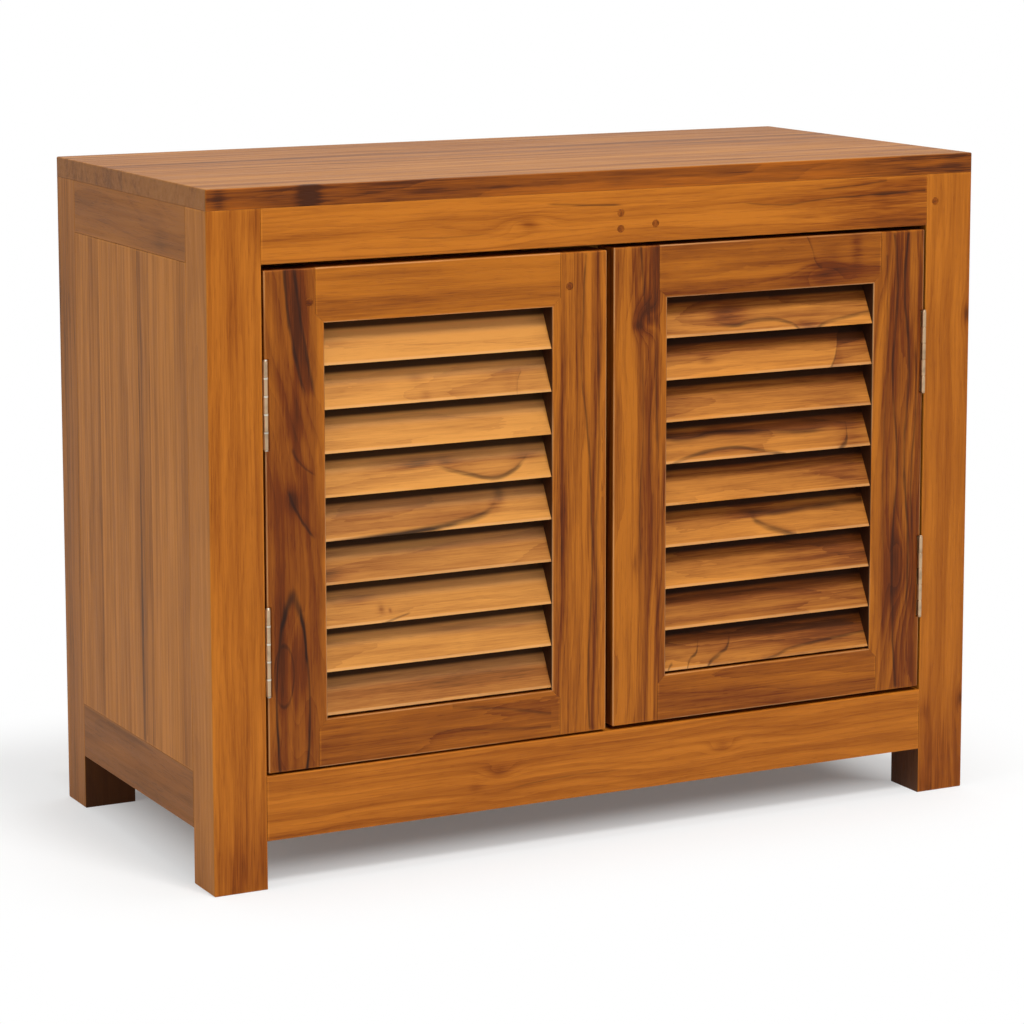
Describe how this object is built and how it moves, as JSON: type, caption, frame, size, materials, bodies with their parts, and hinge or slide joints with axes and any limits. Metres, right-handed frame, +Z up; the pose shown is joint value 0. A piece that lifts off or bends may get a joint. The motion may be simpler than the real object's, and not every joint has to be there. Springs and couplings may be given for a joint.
{
  "type": "louvred door cabinet",
  "caption": "Low teak cabinet on square corner posts, with a flush top, flush framed sides and inset louvred doors hung on butt hinges over a shelved interior.",
  "frame": {"origin": "on the floor, under the middle of the cabinet's box, hinge barrels included", "axes": "+X to the right along the front, +Y from the front to the back, +Z up"},
  "size_m": [0.76, 0.3596, 0.6],
  "materials": {
    "top_wood": "satin lacquered teak, pinkish tan, long grain",
    "front_wood": "satin lacquered teak, orange brown",
    "side_wood": "satin lacquered teak, greyer brown, upright boards",
    "door_wood": "satin lacquered teak, strongly figured, dark lines",
    "slat_wood": "satin lacquered teak, golden, some dark figure",
    "inner_wood": "plain sanded teak inside the cabinet",
    "hinge_metal": "pale nickel-toned brass, lightly worn",
    "strike_metal": "zinc-plated steel",
    "catch_plastic": "brown moulded plastic"
  },
  "bodies": {
    "carcass": {"top_board": "top_wood", "front_left_post": "front_wood", "front_right_post": "front_wood", "back_left_post": "side_wood", "back_right_post": "side_wood", "front_apron": "front_wood", "front_bottom_rail": "front_wood", "back_top_rail": "side_wood", "back_bottom_rail": "side_wood", "left_top_rail": "side_wood", "left_bottom_rail": "side_wood", "right_top_rail": "side_wood", "right_bottom_rail": "side_wood", "back_panel": "side_wood", "left_side_panel": "side_wood", "right_side_panel": "side_wood", "floor_board": "inner_wood", "shelf": "inner_wood", "catch_block": "inner_wood", "door_catch": "catch_plastic", "left_upper_hinge_frame_leaf": "hinge_metal", "left_upper_hinge_pin": "hinge_metal", "left_lower_hinge_frame_leaf": "hinge_metal", "left_lower_hinge_pin": "hinge_metal", "right_upper_hinge_frame_leaf": "hinge_metal", "right_upper_hinge_pin": "hinge_metal", "right_lower_hinge_frame_leaf": "hinge_metal", "right_lower_hinge_pin": "hinge_metal"},
    "left_door": {"left_door_hinge_stile": "door_wood", "left_door_meeting_stile": "door_wood", "left_door_top_rail": "door_wood", "left_door_bottom_rail": "door_wood", "left_door_slat_1": "slat_wood", "left_door_slat_2": "slat_wood", "left_door_slat_3": "slat_wood", "left_door_slat_4": "slat_wood", "left_door_slat_5": "slat_wood", "left_door_slat_6": "slat_wood", "left_door_slat_7": "slat_wood", "left_door_slat_8": "slat_wood", "left_door_slat_9": "slat_wood", "left_door_strike_plate": "strike_metal", "left_upper_hinge_door_leaf": "hinge_metal", "left_lower_hinge_door_leaf": "hinge_metal"},
    "right_door": {"right_door_hinge_stile": "door_wood", "right_door_meeting_stile": "door_wood", "right_door_top_rail": "door_wood", "right_door_bottom_rail": "door_wood", "right_door_slat_1": "slat_wood", "right_door_slat_2": "slat_wood", "right_door_slat_3": "slat_wood", "right_door_slat_4": "slat_wood", "right_door_slat_5": "slat_wood", "right_door_slat_6": "slat_wood", "right_door_slat_7": "slat_wood", "right_door_slat_8": "slat_wood", "right_door_slat_9": "slat_wood", "right_door_strike_plate": "strike_metal", "right_upper_hinge_door_leaf": "hinge_metal", "right_lower_hinge_door_leaf": "hinge_metal"}
  },
  "joints": [
    {"name": "left_door_hinge", "type": "hinge", "parent": "carcass", "child": "left_door", "pos_m": [-0.3288, -0.1777, 0.316], "axis": [0, 0, -1], "range_deg": [0, 170]},
    {"name": "right_door_hinge", "type": "hinge", "parent": "carcass", "child": "right_door", "pos_m": [0.3288, -0.1777, 0.3175], "axis": [0, 0, 1], "range_deg": [0, 170]}
  ]
}
